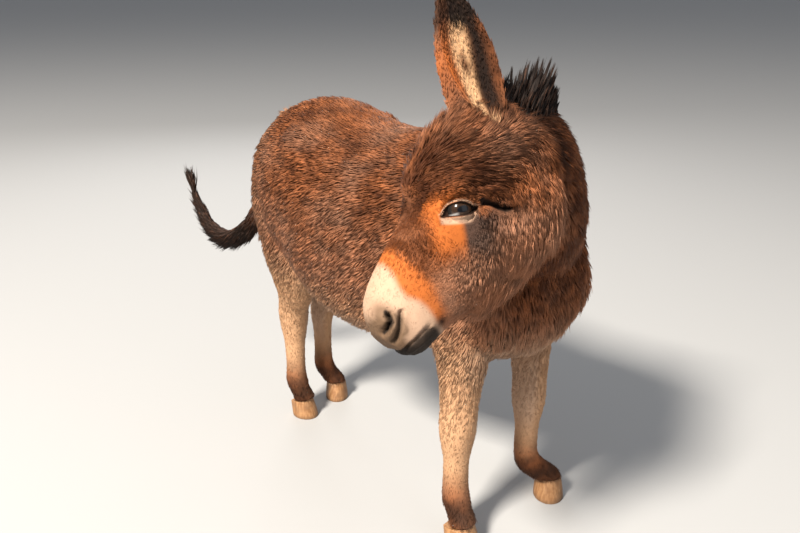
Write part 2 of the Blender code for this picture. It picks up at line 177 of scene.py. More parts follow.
def applied(obj):
    """Applies the modifiers of an object."""
    graph = bpy.context.evaluated_depsgraph_get()
    mesh = bpy.data.meshes.new_from_object(obj.evaluated_get(graph))
    obj.modifiers.clear()
    obj.data = mesh
    return obj


def rows(items, key, width, kind=float):
    """A property of every item of a mesh, such as its vertices, as rows of an array."""
    found = np.empty(len(items) * width, np.float32 if kind is float else kind)
    items.foreach_get(key, found)
    return found.reshape(-1, width).astype(kind)


def points_of(mesh):
    return rows(mesh.vertices, "co", 3)


def set_points(mesh, points):
    mesh.vertices.foreach_set("co", points.astype(np.float32).ravel())
    mesh.update()


def set_field(mesh, name, values):
    """Gives a mesh a number at each of its points."""
    mesh.attributes.new(name, "FLOAT", "POINT").data.foreach_set("value", values.astype(np.float32))


def normals_of(mesh):
    return rows(mesh.vertex_normals, "vector", 3)


def edges_of(mesh):
    return rows(mesh.edges, "vertices", 2, np.int32)


def triangles_of(mesh):
    mesh.calc_loop_triangles()
    return rows(mesh.loop_triangles, "vertices", 3, np.int32)


def nearest_of(points, centres):
    """The number of the centre nearest to each point."""
    tree = KDTree(len(centres))
    for k, centre in enumerate(centres):
        tree.insert(centre, k)
    tree.balance()
    return np.array([tree.find(p)[1] for p in points])


def spread(values, edges, rounds, share=1.0):
    """Averages values over neighbouring points, several times; share is how far each point gives way."""
    values = np.asarray(values, float)
    flat = values.reshape(len(values), -1).copy()
    count = len(flat)
    a, b = edges[:, 0], edges[:, 1]
    degree = np.bincount(a, minlength=count) + np.bincount(b, minlength=count)
    share = np.broadcast_to(share, count)
    for _ in range(rounds):
        for k in range(flat.shape[1]):
            column = flat[:, k]
            total = np.bincount(a, column[b], count) + np.bincount(b, column[a], count)
            flat[:, k] = column + share * (total / np.maximum(degree, 1) - column)
    return flat.reshape(values.shape)


def merged_copy(names, swell):
    """One mesh from copies of CAD nodes, each merged and swollen along its normals."""
    bm = bmesh.new()
    for name in names:
        part = bmesh.new()
        part.from_mesh(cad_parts[name].data)
        bmesh.ops.remove_doubles(part, verts=part.verts, dist=WELD)
        part.normal_update()
        for vert in part.verts:
            vert.co += vert.normal * swell
        mesh = mesh_from(part, "part")
        bm.from_mesh(mesh)
        bpy.data.meshes.remove(mesh)
    return mesh_from(bm, "merged")


# Regions of the body


def region_weights(points, edges):
    """{node: share of each point that belongs to it}, melting over the borders."""
    parts = [points_of(merged_copy([name], 0)) for name in FLESH]
    owners = np.repeat(np.arange(len(parts)), [len(part) for part in parts])
    nearest = owners[nearest_of(points, np.concatenate(parts))]
    return dict(zip(FLESH, spread(np.eye(len(FLESH))[nearest], edges, 14).T))


# Lengths of hair


def hair_shape(points, normals, region):
    """(length, lift in degrees) of the coat at each point."""
    h = to_head(points)
    x, z = h[:, 0], h[:, 2]
    height = points[:, 2]

    trunk = 0.034 + 0.004 * ramp(normals[:, 2], -0.2, -0.8) - 0.004 * ramp(normals[:, 2], 0.5, 0.95)
    crown = 0.044 * (1 - ramp(x, 0.10, 0.185)) + 0.008 * ramp(x, 0.10, 0.185)
    cheek = ramp(z, -0.070, -0.115) * (1 - ramp(x, 0.20, 0.29))
    skull = crown * (1 - cheek) + (0.030 + 0.018 * ramp(z, -0.12, -0.18)) * cheek
    skull = skull * (1 - ramp(x, 0.20, 0.265)) + 0.0060 * ramp(x, 0.20, 0.265)
    skull = skull * (1 - 0.50 * ramp(x, 0.27, 0.30))
    eye = eye_range(points)
    below = ramp(z, -0.010, -0.035)
    near_eye = (1 - ramp(eye, 0.030, 0.065)) * (0.35 + 0.65 * ramp(x, 0.135, 0.165))
    skull = skull * (1 - near_eye * (0.30 + 0.40 * below)) * (0.40 + 0.60 * ramp(eye, 0.024, 0.036))

    crease = np.min([line_range(points, side, "crease")[0] for side in (-1, 1)], axis=0)
    skull = np.minimum(skull, 0.003 + 2.0 * (crease - 0.005).clip(0, 1))

    legs = 0.0080 + 0.010 * ramp(height, 0.20, 0.42) + 0.005 * ramp(height, 0.13, 0.07)
    lengths = {"trunk": trunk, "neck": 0.040, "head": skull, "tail_dock": 0.030, "tail_switch": 0.055}
    lengths |= dict.fromkeys(LEGS, legs) | dict.fromkeys(EARS, 0.011)
    short = ramp(x, 0.12, 0.19) * (1 - cheek)
    head = 24 * (1 - short) + 8 * short - 4 * ramp(x, 0.23, 0.27) - 8 * cheek * ramp(z, -0.18, -0.13)
    lifts = {"trunk": 10.5, "neck": 15.0, "head": head, "tail_dock": 14.0, "tail_switch": 9.0}
    lifts |= dict.fromkeys(LEGS, 6.5) | dict.fromkeys(EARS, 10.0)
    return tuple(sum(region[name] * kind[name] for name in FLESH) for kind in (lengths, lifts))


def eye_range(points):
    """How far each point is from the nearer eye's middle."""
    h = to_head(points)
    eye = np.tile(np.array(EYE_IN_HEAD), (len(h), 1))
    eye[:, 1] *= np.sign(h[:, 1])
    return np.linalg.norm(h - eye, axis=1)


def coat_depth(length, lift):
    """How far tufts of this length and lift stand above the skin."""
    return 0.27 * length * lift / 20


# The lie of the hair


def tail_line():
    """Points along the middle of the tail, from its root to its tip."""
    dock_low, dock_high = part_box("tail_dock")
    low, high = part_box("tail_switch")
    root = Vector((dock_low.x + dock_high.x, 0, 0)) / 2
    root.y, root.z = dock_low.y + 0.3 * (dock_high.y - dock_low.y), dock_high.z
    bottom = Vector((0.5 * (low.x + dock_high.x) - 0.02, low.y + 0.075, low.z + 0.02))
    tip = Vector((low.x + 0.02, high.y, high.z))
    return [root, Vector((dock_high.x - 0.03, low.y + 0.02, high.z)), bottom, tip]


def trunk_flow(points):
    low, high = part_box("trunk")
    fall = 0.15 + 0.85 * ramp(points[:, 2], high.z - 0.02, high.z - 0.27)
    back = 0.95 * ramp(points[:, 1], low.y + 0.02, low.y + 0.16)
    back = back * (1 - 0.8 * ramp(points[:, 1], high.y - 0.13, high.y))
    return np.stack([0 * fall, back, -fall], axis=1)


def head_flow(points):
    """Hair turns out of a whorl between the eyes, over the crown, down the cheeks and along the muzzle."""
    h = to_head(points)
    x, y, z = h.T
    side = np.clip(y / 0.03, -1, 1)
    none = 0 * x
    whorl = unit(np.stack([x - 0.165, 1.5 * y, none], axis=1))
    whorl = whorl + np.stack([none, none, -6.0 * np.abs(y)], axis=1)
    cheek = np.stack([0.66 + none, 0.1 * side, -0.56 + none], axis=1)
    muzzle = np.stack([0.9 + none, 0.2 * side, -0.25 + none], axis=1)
    on_cheek = ramp(z, -0.035, -0.075)[:, None]
    on_muzzle = ramp(x, 0.19, 0.26)[:, None]
    lie = unit(whorl) * (1 - on_cheek) + unit(cheek) * on_cheek
    lie = lie * (1 - on_muzzle) + unit(muzzle) * on_muzzle
    return lie @ HEAD_AXES


def tail_flow(points):
    line = tail_line()
    steps = [(a, (b - a).normalized()) for a, b in zip(line, line[1:])]
    starts = np.array([(a + b) / 2 for a, b in zip(line, line[1:])])
    away = np.linalg.norm(points[:, None] - starts[None], axis=2)
    share = 1 / (away**3 + 1e-6)
    share /= share.sum(axis=1, keepdims=True)
    return share @ np.array([d for _, d in steps])


def neck_flow(points):
    down_neck = np.array(middle("trunk")) + (0, -0.25, 0.1) - HEAD_ORIGIN
    lie = unit(down_neck) * 0.8 + np.array((0, 0, -0.65))
    return np.broadcast_to(lie, points.shape)


def ear_flow(name, points):
    aim, _ = EAR_LIE[name]
    return np.broadcast_to(unit(np.array(aim) @ HEAD_AXES), points.shape)


def coat_flow(points, normals, edges, region):
    """The direction in which the coat lies, along the skin."""
    flows = {"trunk": trunk_flow(points), "neck": neck_flow(points), "head": head_flow(points)}
    flows["tail_dock"] = flows["tail_switch"] = tail_flow(points)
    flows |= dict.fromkeys(LEGS, np.broadcast_to((0.0, 0.12, -1.0), points.shape))
    flows |= {name: ear_flow(name, points) for name in EARS}
    lie = sum(region[name][:, None] * unit(flows[name]) for name in FLESH)
    for _ in range(4):
        lie = spread(flattened(lie, normals), edges, 3)
    return flattened(lie, normals)


# The skin


def fused_skin():
    """The flesh and the eyeballs as one even surface."""
    obj = linked("skin", merged_copy(FLESH + ("eye_left", "eye_right"), SEAM))
    remesh = obj.modifiers.new("remesh", "REMESH")
    remesh.mode, remesh.voxel_size = "VOXEL", VOXEL
    applied(obj)
    points = points_of(obj.data)
    set_points(obj.data, spread(points, edges_of(obj.data), 4, 0.5))
    return thinned(obj)


def thinned(obj):
    """Fewer faces on the body, where the coat hides them, and as many as before on the head."""
    points = points_of(obj.data)
    x, y, z = to_head(points).T
    kept = (x > -0.02) & (np.abs(y) < 0.13) & (z > -0.22)
    for name in EARS:
        kept |= within(points, name)
    obj.vertex_groups.new(name="body").add(np.flatnonzero(~kept).tolist(), 1, "REPLACE")
    fewer = obj.modifiers.new("fewer", "DECIMATE")
    fewer.ratio = SKIN_FACES / len(triangles_of(obj.data))
    fewer.vertex_group, fewer.vertex_group_factor = "body", 100
    applied(obj)
    obj.vertex_groups.clear()
    return obj


def refine(obj, centre, reach):
    """Divides the faces round a place more finely, twice, the second time over less of it."""
    bm = bmesh.new()
    bm.from_mesh(obj.data)
    centre = Vector(centre)
    for _ in range(2):
        near = [e for e in bm.edges if all((v.co - centre).length < reach for v in e.verts)]
        bmesh.ops.subdivide_edges(bm, edges=near, cuts=1, use_grid_fill=True, smooth=0.6)
        reach *= 0.8
    bm.to_mesh(obj.data)
    bm.free()


def sunk_skin():
    """The skin, as far under the flesh's surface as the coat is deep."""
    obj = fused_skin()
    mesh = obj.data
    points, normals, edges = points_of(mesh), normals_of(mesh), edges_of(mesh)
    region = region_weights(points, edges)
    length, lift = hair_shape(points, normals, region)
    depth = spread(coat_depth(length, lift), edges, 10)
    set_points(mesh, points - normals * depth[:, None])
    points = points_of(mesh)
    set_points(mesh, spread(points, edges, 2, 0.4))
    for side in (-1, 1):
        for (x, y, z), reach in FINE_PLACES:
            refine(obj, from_head((x, side * y, z)), reach)
    return obj


def eye_frame(side):
    """(centre, u towards the inner corner, v towards the brow, w out of the head) of an eye."""
    centre = from_head(np.array(EYE_IN_HEAD) * (1, side, 1))
    w = unit(np.array((0.10, side, 0.05)) @ HEAD_AXES)
    u = np.array((0.79, side * -0.10, 0.60)) @ HEAD_AXES
    u = unit(u - u.dot(w) * w)
    v = np.cross(w, u)
    if v.dot(HEAD_AXES[2]) < 0:
        v = -v
    return centre, u, v, w


def eye_place(points, side):
    """Coordinates u, v and w of the points in the frame of an eye."""
    centre, *axes = eye_frame(side)
    return ((points - centre) @ np.array(axes).T).T


def lid_edges(u):
    """Heights of the edges of the upper and lower lid, along the line between the corners."""
    share = np.clip((u - OUTER) / (INNER - OUTER), 0, 1)
    base = -0.0030 + 0.0015 * share
    upper = base + 0.0134 * np.abs(np.sin(math.pi * share**1.35)) ** 0.9
    lower = base - 0.0066 * np.abs(np.sin(math.pi * share**0.62)) ** 0.8
    return upper, lower


def lid_distance(u, v):
    """How far outside the opening between the lids a point is; negative inside."""
    upper, lower = lid_edges(u)
    beyond = np.maximum(np.maximum(OUTER - u, u - INNER), 0)
    over = np.maximum(v - upper, lower - v)
    return np.hypot(over.clip(0), beyond) + np.minimum(over, 0) * (beyond == 0)


def carve_eye(points, side):
    """Opens the lids over the eyeball, with a rim and a fold above and below."""
    centre, *axes = eye_frame(side)
    u, v, w = eye_place(points, side)
    across = np.hypot(u, v)
    near = (across < 0.055) & (w > 0.002) & (w < 0.050)
    away = lid_distance(u, v)
    upper, lower = lid_edges(u)
    ball = np.sqrt(np.maximum(EYE_RADIUS**2 - across**2, 0))
    cover = np.sqrt(np.maximum((EYE_RADIUS + 0.0022) ** 2 - across**2, 0.0090**2))
    rim = cover + 0.0006 * bell(away - 0.0022, 0.0016)
    outside = rim + (w - rim) * ramp(away, 0.0035, 0.016)
    inside = np.minimum(np.maximum(ball - 0.0045, 0.0045), w)
    shaped = np.where(away > 0, outside, inside + (outside - inside) * ramp(away, -0.0014, 0))
    fold = 0.0018 * bell(v - upper - 0.0075, 0.0018) * ramp(np.abs(u), 0.024, 0.012)
    lower_fold = 0.0010 * bell(lower - 0.0060 - v, 0.0016) * ramp(np.abs(u), 0.026, 0.010)
    shaped = shaped - (fold + lower_fold) * (away > 0)
    w = np.where(near, shaped, w)
    return centre + np.stack([u, v, w], axis=1) @ np.array(axes)


def near_path(points, path):
    """(distance to a path of straight steps, share along it) for each point."""
    path = np.array(path, float)
    best = np.full(len(points), 1e9)
    share = np.zeros(len(points))
    for k, (a, b) in enumerate(zip(path, path[1:])):
        t = np.clip((points - a) @ (b - a) / ((b - a) @ (b - a)), 0, 1)
        away = np.linalg.norm(points - a - t[:, None] * (b - a), axis=1)
        closer = away < best
        best = np.where(closer, away, best)
        share = np.where(closer, (k + t) / (len(path) - 1), share)
    return best, share


# Lines pressed into the left side of the face: half width, depth and path in the head's frame. A negative
# depth raises a ridge. The crease behind the eye lies under the brow, and the wing between nostril and fold.
FACE_LINES = {
    "crease": (0.0052, 0.0120, (
        (0.131, 0.086, -0.051), (0.126, 0.091, -0.057), (0.121, 0.093, -0.067), (0.118, 0.093, -0.077),
        (0.114, 0.094, -0.086), (0.107, 0.095, -0.091), (0.099, 0.097, -0.097))),
    "brow": (0.0100, -0.0070, ((0.150, 0.085, -0.010), (0.132, 0.094, -0.034), (0.112, 0.095, -0.062))),
    "fold": (0.0038, 0.0080, (
        (0.317, 0.056, -0.048), (0.324, 0.055, -0.055), (0.334, 0.053, -0.061), (0.343, 0.050, -0.066),
        (0.353, 0.043, -0.071), (0.362, 0.032, -0.073))),
    "nostril": (0.0050, 0.0140, (
        (0.334, 0.046, -0.034), (0.338, 0.048, -0.043), (0.342, 0.049, -0.049), (0.350, 0.045, -0.050),
        (0.357, 0.037, -0.051), (0.362, 0.027, -0.053))),
    "wing": (0.0045, -0.0050, (
        (0.329, 0.050, -0.040), (0.339, 0.053, -0.051), (0.350, 0.047, -0.058), (0.361, 0.038, -0.062))),
    "mouth": (0.0032, 0.0075, (
        (0.308, 0.050, -0.106), (0.318, 0.051, -0.101), (0.329, 0.051, -0.098), (0.339, 0.049, -0.097),
        (0.351, 0.044, -0.095), (0.360, 0.033, -0.096), (0.365, 0.014, -0.095), (0.366, 0.000, -0.095))),
    "lower_lip": (0.0055, -0.0025, (
        (0.326, 0.043, -0.111), (0.344, 0.040, -0.107), (0.355, 0.024, -0.106), (0.360, 0.000, -0.105))),
}


def line_range(points, side, line):
    """(distance from a line of the face, share along it) for each point of the skin, before it is carved."""
    path = from_head(np.array(FACE_LINES[line][2]) * (1, side, 1))
    laid = [points[np.argmin(((points - place) ** 2).sum(axis=1))] for place in path]
    return near_path(points, laid)


def carved_skin():
    """(skin, its points before it was carved)."""
    obj = sunk_skin()
    mesh = obj.data
    before, normals = points_of(mesh), normals_of(mesh)
    points = before
    push = np.zeros(len(points))
    for side in (-1, 1):
        points = carve_eye(points, side)
        for line, (width, depth, _) in FACE_LINES.items():
            away, share = line_range(before, side, line)
            push += depth * bell(away, width) * ramp(share, 0, 0.12) * (1 - 0.6 * ramp(share, 0.85, 1))
    points = points - normals * push[:, None]
    h = to_head(points)
    soft = ramp(h[:, 0], 0.05, 0.10) * (np.abs(h[:, 1]) < 0.14) * 0.25
    set_points(mesh, spread(points, edges_of(mesh), 2, soft))
    mesh.shade_smooth()
    return obj, before


# Markings, each from 0 to 1; some are painted light and shade, as noted where they are made


def eye_marks(points):
    """(rust, a painted shadow on the cheek, pale rim, black) round the eyes."""
    rust, cheek_shadow, rim, black = np.zeros((4, len(points)))
    for side in (-1, 1):
        u, v, w = eye_place(points, side)
        close = (w > -0.03) & (w < 0.060)
        lids = close & (w > -0.005) & (np.hypot(u, v) < 0.06)
        away = lid_distance(u, v)
        patch = ramp(u, -0.002, 0.012) * (1 - ramp(u, 0.034, 0.062)) * ramp(v, -0.078, -0.036)
        rust += close * (patch * (1 - ramp(v, 0.014, 0.040)))
        # painted shadow on the cheek below and behind the eye, as cast by the ridge above it
        patch = ramp(u, 0.010, 0.000) * ramp(u, -0.078, -0.022) * ramp(v, -0.086, -0.048)
        cheek_shadow += close * (patch * ramp(v, -0.008, -0.016))
        below = ramp(v, 0.004, -0.004) * ramp(u, -0.026, -0.006)
        edge = ramp(away, 0.0012, 0.0024) * (1 - ramp(away, 0.0030 + 0.0060 * below, 0.0054 + 0.0088 * below))
        rim += lids * edge * (1 - ramp(u, 0.031, 0.036)) * ramp(u, -0.031, -0.016)
        lashes = lids * (1 - ramp(away, 0.0008, 0.0020))
        canthus = 0.7 * lids * ramp(u, 0.022, 0.027) * (1 - ramp(away, 0.0012, 0.0040))
        # black in the crease behind the eye is painted shade, the crease lying under the brow
        line, share = line_range(points, side, "crease")
        half = np.interp(share, (0, 0.3, 0.7, 0.85, 1), (0.0044, 0.0038, 0.0064, 0.0062, 0.0026))
        black += np.clip(lashes + canthus + close * (1 - ramp(line, half * 0.8, half * 1.6)), 0, 1)
    return rust, cheek_shadow, rim, black


def nose_marks(points, x, z):
    """(brown round the nostrils, partly the skin's own and partly painted shade; black in them and along the
    folds, painted shade; black lips).
    """
    shade, slit, corner = np.zeros((3, len(points)))
    for side in (-1, 1):
        (hole, along), (fold, down) = (line_range(points, side, line) for line in ("nostril", "fold"))
        wide = np.interp(along, (0, 0.2, 0.6, 1), (0.6, 1.0, 1.0, 0.5))
        # black in the nostril and along the fold: painted shade in the opening and the crease
        slit += 0.96 * (1 - ramp(hole, 0.0022 * wide, 0.0085 * wide))
        slit += 0.66 * (1 - ramp(fold, 0.0006, 0.0064)) * ramp(down, 0.0, 0.35)
        # brown round the nostrils, partly the skin's own colour and partly painted shade
        shade += 1.35 * bell(hole, 0.026) * ramp(x, 0.312, 0.338)
        shade += 0.45 * bell(fold, 0.010) * ramp(down, 0.0, 0.35)
        shade += 0.8 * bell(range_of(points, (0.340, side * 0.051, -0.073)), 0.006)
        corner += bell(range_of(points, (0.294, side * 0.043, -0.115)), 0.009)
    lips = ramp(z - np.interp(x, *LIP_LINE), 0.002, -0.003) * ramp(x, 0.300, 0.312) + corner
    # darker on the nose's front and underside, partly its skin and partly painted shade where it faces down
    tip = ramp(x, 0.338, 0.360) + ramp(z, -0.070, -0.092) * ramp(x, 0.342, 0.358)
    return 0.85 * shade.clip(0, 1) + 0.5 * tip, slit, lips


def markings(points, normals, region):
    """{name: strength of that marking at each point}."""
    x, _, z = to_head(points).T
    height = points[:, 2]
    head, neck, trunk = (region[name] for name in ("head", "neck", "trunk"))
    legs = sum(region[name] for name in LEGS)
    ears = sum(region[name] for name in EARS)
    eye_rust, cheek_shadow, rim, eye_black = eye_marks(points)
    nose, slit, lips = nose_marks(points, x, z)
    inner_ear, ear_black, ear_rust = ear_marks(points, normals)

    border = np.interp(z, *MUZZLE_EDGE)
    outer = border - 0.019 - 0.015 * bell(z + 0.042, 0.030)
    muzzle = head * ramp(x, border - 0.005, border + 0.009)
    band = head * ramp(x, outer - 0.012, outer + 0.010) * (1 - ramp(x, border, border + 0.010))
    bridge = ramp(x, 0.165, 0.215) * ramp(z, -0.080, -0.045) * (1 - muzzle)
    rust = 0.95 * band * ramp(z, -0.130, -0.100) + head * (eye_rust + 0.16 * bridge)
    rear = 0.06 * ramp(x, 0.11, 0.05)
    brow = (1 - ramp(z, -0.02 - rear, -0.06 - rear)) * (0.15 + 0.85 * ramp(x, 0.03, 0.13))
    cheek = head * ramp(z, -0.05 - rear, -0.10 - rear)

    belly = trunk * ramp(normals[:, 2], -0.35, -0.85)
    chest = (trunk + neck) * ramp(normals[:, 1], -0.3, -0.9) * ramp(height, 0.56, 0.44)
    inward = -normals[:, 0] * np.sign(points[:, 0] - middle("trunk").x)
    inner_leg = legs * ramp(inward, 0.1, 0.7) * ramp(height, 0.16, 0.26)
    tan = np.clip(legs * ramp(height, 0.10, 0.20) + 0.7 * trunk * ramp(height, 0.56, 0.42), 0, 1)
    dusky = legs * bell(height - 0.080, 0.035)
    # the streak beside the mane is partly painted shade
    streak = bell(near_path(points, from_head(STREAK))[0], 0.011)
    found = {
        # umber on the neck is partly its own darker coat and partly painted shade; on the trunk it is painted
        # shade on the top of the back, where it faces up
        "umber": head * (brow + 0.35 * bridge) + 0.7 * neck + 0.3 * trunk * ramp(normals[:, 2], 0.4, 0.9),
        # ashen on the cheeks is their grey-brown coat with a painted sheen
        "ashen": 0.7 * cheek + 0.5 * trunk * ramp(height, 0.74, 0.56),
        "muzzle": muzzle,
        "rust": rust + ears * ear_rust,
        "cheek_shadow": head * cheek_shadow,
        "pale": np.clip(0.9 * belly + 0.6 * chest + inner_leg, 0, 1) + rim,
        # tan towards the rump is painted light, the rear of the trunk made lighter than the rest
        "tan": tan + 0.40 * trunk * ramp(points[:, 1], 0.20, 0.36),
        "nose": head * nose,
        "inner_ear": ears * inner_ear,
        "black": (
            eye_black + 0.75 * dusky + region["tail_switch"] + head * lips + slit + ears * ear_black
            + 0.85 * streak
        ),
    }
    return {name: values.clip(0, 1) for name, values in found.items()}


def ear_marks(points, normals):
    """(pale hair, black, rust) of the ears, each from 0 to 1; the black in each ear's hollow is partly
    painted shade.
    """
    pale, black, rust = np.zeros((3, len(points)))
    for name in EARS:
        aim, opening = (unit(np.array(v) @ HEAD_AXES) for v in EAR_LIE[name])
        opening = unit(opening - opening.dot(aim) * aim)
        across = np.cross(opening, aim) * (1 if name == "ear_left" else -1)
        own = points_of(merged_copy([name], 0))
        base, top = (own @ aim).min(), (own @ aim).max()
        here = within(points, name, 0.01)
        share = (points @ aim - base) / (top - base)
        half = np.interp(share, (0, 0.15, 0.5, 0.7, 0.87, 1), (0.022, 0.028, 0.041, 0.035, 0.021, 0.006))
        off = (points - own.mean(axis=0)) @ across / half
        inside = here * ramp(normals @ opening, -0.25, 0.25)
        band = np.exp(-(((off - 0.62 + 0.9 * share) / 0.42) ** 4)) * (1 - ramp(share, 0.60, 0.78))
        tuft = bell(off - 0.20, 0.16) * bell(share - 0.42, 0.07)
        lobe = ramp(off, 0.35, 0.65) * bell(share - 0.44, 0.20)
        tip = ramp(share, 0.58, 0.78)
        pale += inside * band * (1 - 0.9 * tuft)
        rust += here * (0.75 * inside * lobe + (1 - inside) * 0.5 * bell(share - 0.42, 0.20))
        # the wedge: black in the ear's hollow, partly its dark skin and partly painted shade under the rim
        wedge = inside * (1 - band) * ramp(off, 0.3, 0.0) * (1 - 0.6 * ramp(off, -0.55, -0.90))
        black += here * np.clip(tip * 0.85 + wedge + 0.7 * inside * tuft, 0, 1)
    return pale.clip(0, 1), black.clip(0, 1), rust.clip(0, 1)


# Shader maths


class Value:
    """A socket that takes part in sums: an expression on values adds its Math nodes."""

    def __init__(self, shader, socket):
        self.shader, self.socket = shader, socket

    def math(self, operation, *others):
        sockets = {0: self}
        sockets.update({k + 1: other for k, other in enumerate(others)})
        return self.shader.node("ShaderNodeMath", {"operation": operation}, sockets)

    def __add__(self, other):
        return self.math("ADD", other)

    def __sub__(self, other):
        return self.math("SUBTRACT", other)

    def __mul__(self, other):
        return self.math("MULTIPLY", other)

    def __truediv__(self, other):
        return self.math("DIVIDE", other)

    def __pow__(self, other):
        return self.math("POWER", other)

    def __rsub__(self, other):
        return self.math("MULTIPLY", -1).math("ADD", other)

    __radd__ = __add__
    __rmul__ = __mul__

    def clamp(self):
        return self.math("MAXIMUM", 0).math("MINIMUM", 1)

    def between(self, low, high):
        """A smooth step of this value from low to high."""
        settings = {"interpolation_type": "SMOOTHSTEP"}
        return self.shader.node("ShaderNodeMapRange", settings, {0: self, 1: low, 2: high})


class Shader:
    """A material and the nodes that are put in it."""

    def __init__(self, name):
        self.material = bpy.data.materials.new(name)
        self.material.use_nodes = True
        self.tree = self.material.node_tree
        self.bsdf = self.tree.nodes["Principled BSDF"]

    def node(self, kind, settings=None, inputs=None, output=0):
        made = self.tree.nodes.new(kind)
        for key, value in (settings or {}).items():
            setattr(made, key, value)
        for key, value in (inputs or {}).items():
            self.feed(made.inputs[key], value)
        return Value(self, made.outputs[output])

    def feed(self, socket, value):
        if isinstance(value, Value):
            self.tree.links.new(value.socket, socket)
        elif socket.type == "RGBA":
            socket.default_value = (*value, 1)
        else:
            socket.default_value = value

    def set(self, **values):
        """Sets the shader's own sockets; an underscore stands for a space."""
        for key, value in values.items():
            self.feed(self.bsdf.inputs[key.replace("_", " ").title().replace("Ior", "IOR")], value)

    def attribute(self, name):
        return self.node("ShaderNodeAttribute", {"attribute_name": name}, output="Fac")

    def place(self):
        return self.node("ShaderNodeTexCoord", output="Object")

    def noise(self, scale, detail, stretch=(1, 1, 1)):
        place = self.node("ShaderNodeMapping", inputs={"Vector": self.place(), "Scale": stretch})
        return self.node("ShaderNodeTexNoise", inputs={"Vector": place, "Scale": scale, "Detail": detail})

    def mix(self, share, first, second):
        inputs = {"Factor": share, 6: first, 7: second}
        return self.node("ShaderNodeMix", {"data_type": "RGBA"}, inputs, output=2)

    def scaled(self, colour, factor):
        """A colour made darker or lighter."""
        return self.node("ShaderNodeVectorMath", {"operation": "SCALE"}, {0: colour, "Scale": factor})

    def bump(self, height, strength, distance):
        inputs = {"Height": height, "Strength": strength, "Distance": distance}
        self.set(normal=self.node("ShaderNodeBump", inputs=inputs))


# Finishes. Colours are linear.

CHOCOLATE = (0.060, 0.018, 0.007)
BROWN = (0.300, 0.100, 0.036)
ASHEN = (0.380, 0.200, 0.125)
UMBER = (0.062, 0.019, 0.007)
RUST = (0.380, 0.100, 0.020)
CREAM = (0.430, 0.278, 0.188)
EAR_CREAM = (0.600, 0.370, 0.200)
CHEEK_SHADOW = (0.050, 0.036, 0.030)
TAN = (0.490, 0.285, 0.158)
BLACK = (0.008, 0.006, 0.005)
NOSE = (0.095, 0.055, 0.030)


def coat_colour(shader, shade):
    """The markings of the coat, the same on skin and tufts; shade is each tuft's own, light or dark."""
    broad, patchy = shader.noise(7.0, 3.0), shader.noise(34.0, 3.0, (1, 0.5, 1))
    colour = shader.mix((0.7 * patchy.between(0.30, 0.70) + 0.5 * shade - 0.02).clamp(), CHOCOLATE, BROWN)
    colour = shader.mix((broad.between(0.40, 0.75) * 0.45).clamp(), colour, ASHEN)
    # Painted shade and light among these: umber on the neck and the top of the back, the cheeks' sheen in
    # ashen, tan on the rump, the cheek shadow, the brown round the nostrils and black in creases, nostrils
    # and ear hollows
    for name, tint, strength in (
        ("umber", UMBER, 1.0 - 0.50 * patchy.between(0.38, 0.64)),
        ("ashen", ASHEN, 0.60),
        ("tan", TAN, 0.92),
        ("cheek_shadow", CHEEK_SHADOW, 0.85),
        ("rust", RUST, 0.95),
        ("pale", CREAM, 0.90),
        ("muzzle", CREAM, 1.0),
        ("nose", NOSE, 0.90),
        ("inner_ear", EAR_CREAM, 0.90),
        ("black", BLACK, 0.96),
    ):
        mask = shader.attribute(name)
        ragged = (mask + 0.30 * (shade - 0.5) * mask.between(0.02, 0.30)).clamp()
        colour = shader.mix(ragged * strength, colour, tint)
    return colour


def skin_finish():
    """The short flat fur under the tufts, darkened by painted shade where the long coat lies over it; smooth
    where the velvet is.
    """
    shader = Shader("short_fur")
    colour = coat_colour(shader, shader.attribute("shade"))
    fine = shader.noise(900.0, 2.0)
    velvet = shader.attribute("velvet")
    # dim is painted shade under the long coat, down to half, with a fine grain; under the velvet the skin
    # keeps nearly its full colour
    dim = (0.50 + 0.45 * fine) * (1 - velvet) + (0.86 + 0.16 * fine) * velvet
    shader.set(base_color=shader.scaled(colour, dim), roughness=0.75, specular_ior_level=0.10)
    shader.bump(fine, 0.35, 0.0010)
    return shader.material


def hair_finish():
    """Tufts with painted shade at their roots and painted light at their tips, and little of either where the
    velvet is.
    """
    shader = Shader("coat_hair")
    shade, tip, velvet = (shader.attribute(name) for name in ("shade", "tip", "velvet"))
    # lit and flat: painted shade towards the root and painted light towards the tip, times each tuft's own
    # tone
    lit = (0.50 + 0.75 * tip) * (0.72 + 0.56 * shade)
    flat = (0.92 + 0.10 * tip) * (0.88 + 0.24 * shade)
    colour = shader.scaled(coat_colour(shader, shade), lit * (1 - velvet) + flat * velvet)
    shader.set(base_color=colour, roughness=0.62, specular_ior_level=0.12)
    return shader.material


def dark_hair_finish():
    shader = Shader("dark_hair")
    shade, tip = shader.attribute("shade"), shader.attribute("tip")
    brown = (shade.between(0.50, 1.0) * 0.6 + (1 - tip) * 0.6 - 0.15).clamp()
    colour = shader.mix(brown, (0.017, 0.012, 0.010), (0.120, 0.052, 0.029))
    shader.set(base_color=colour, roughness=0.60, specular_ior_level=0.15)
    return shader.material


def horn_finish():
    """Grained horn with growth rings, darker towards the ground and worn in blotches."""
    shader = Shader("hoof_horn")
    height = shader.node("ShaderNodeSeparateXYZ", inputs={0: shader.place()}, output=2)
    rings = (height * 900.0).math("SINE") * 0.5 + 0.5
    grain = shader.noise(60.0, 4.0, (3, 3, 0.4))
    worn = shader.noise(25.0, 4.0)
    colour = shader.mix(grain.between(0.35, 0.70), (0.235, 0.105, 0.036), (0.37, 0.190, 0.080))
    # darker within 1.4 cm of the ground and in blotches
    darkened = (height.between(0.014, 0.0) * 0.6 + worn.between(0.5, 0.7) * 0.35).clamp()
    colour = shader.mix(darkened, colour, (0.10, 0.055, 0.030))
    shader.set(base_color=colour, roughness=0.45 + 0.25 * worn)
    shader.bump(rings * 0.35 + grain, 0.5, 0.0012)
    return shader.material


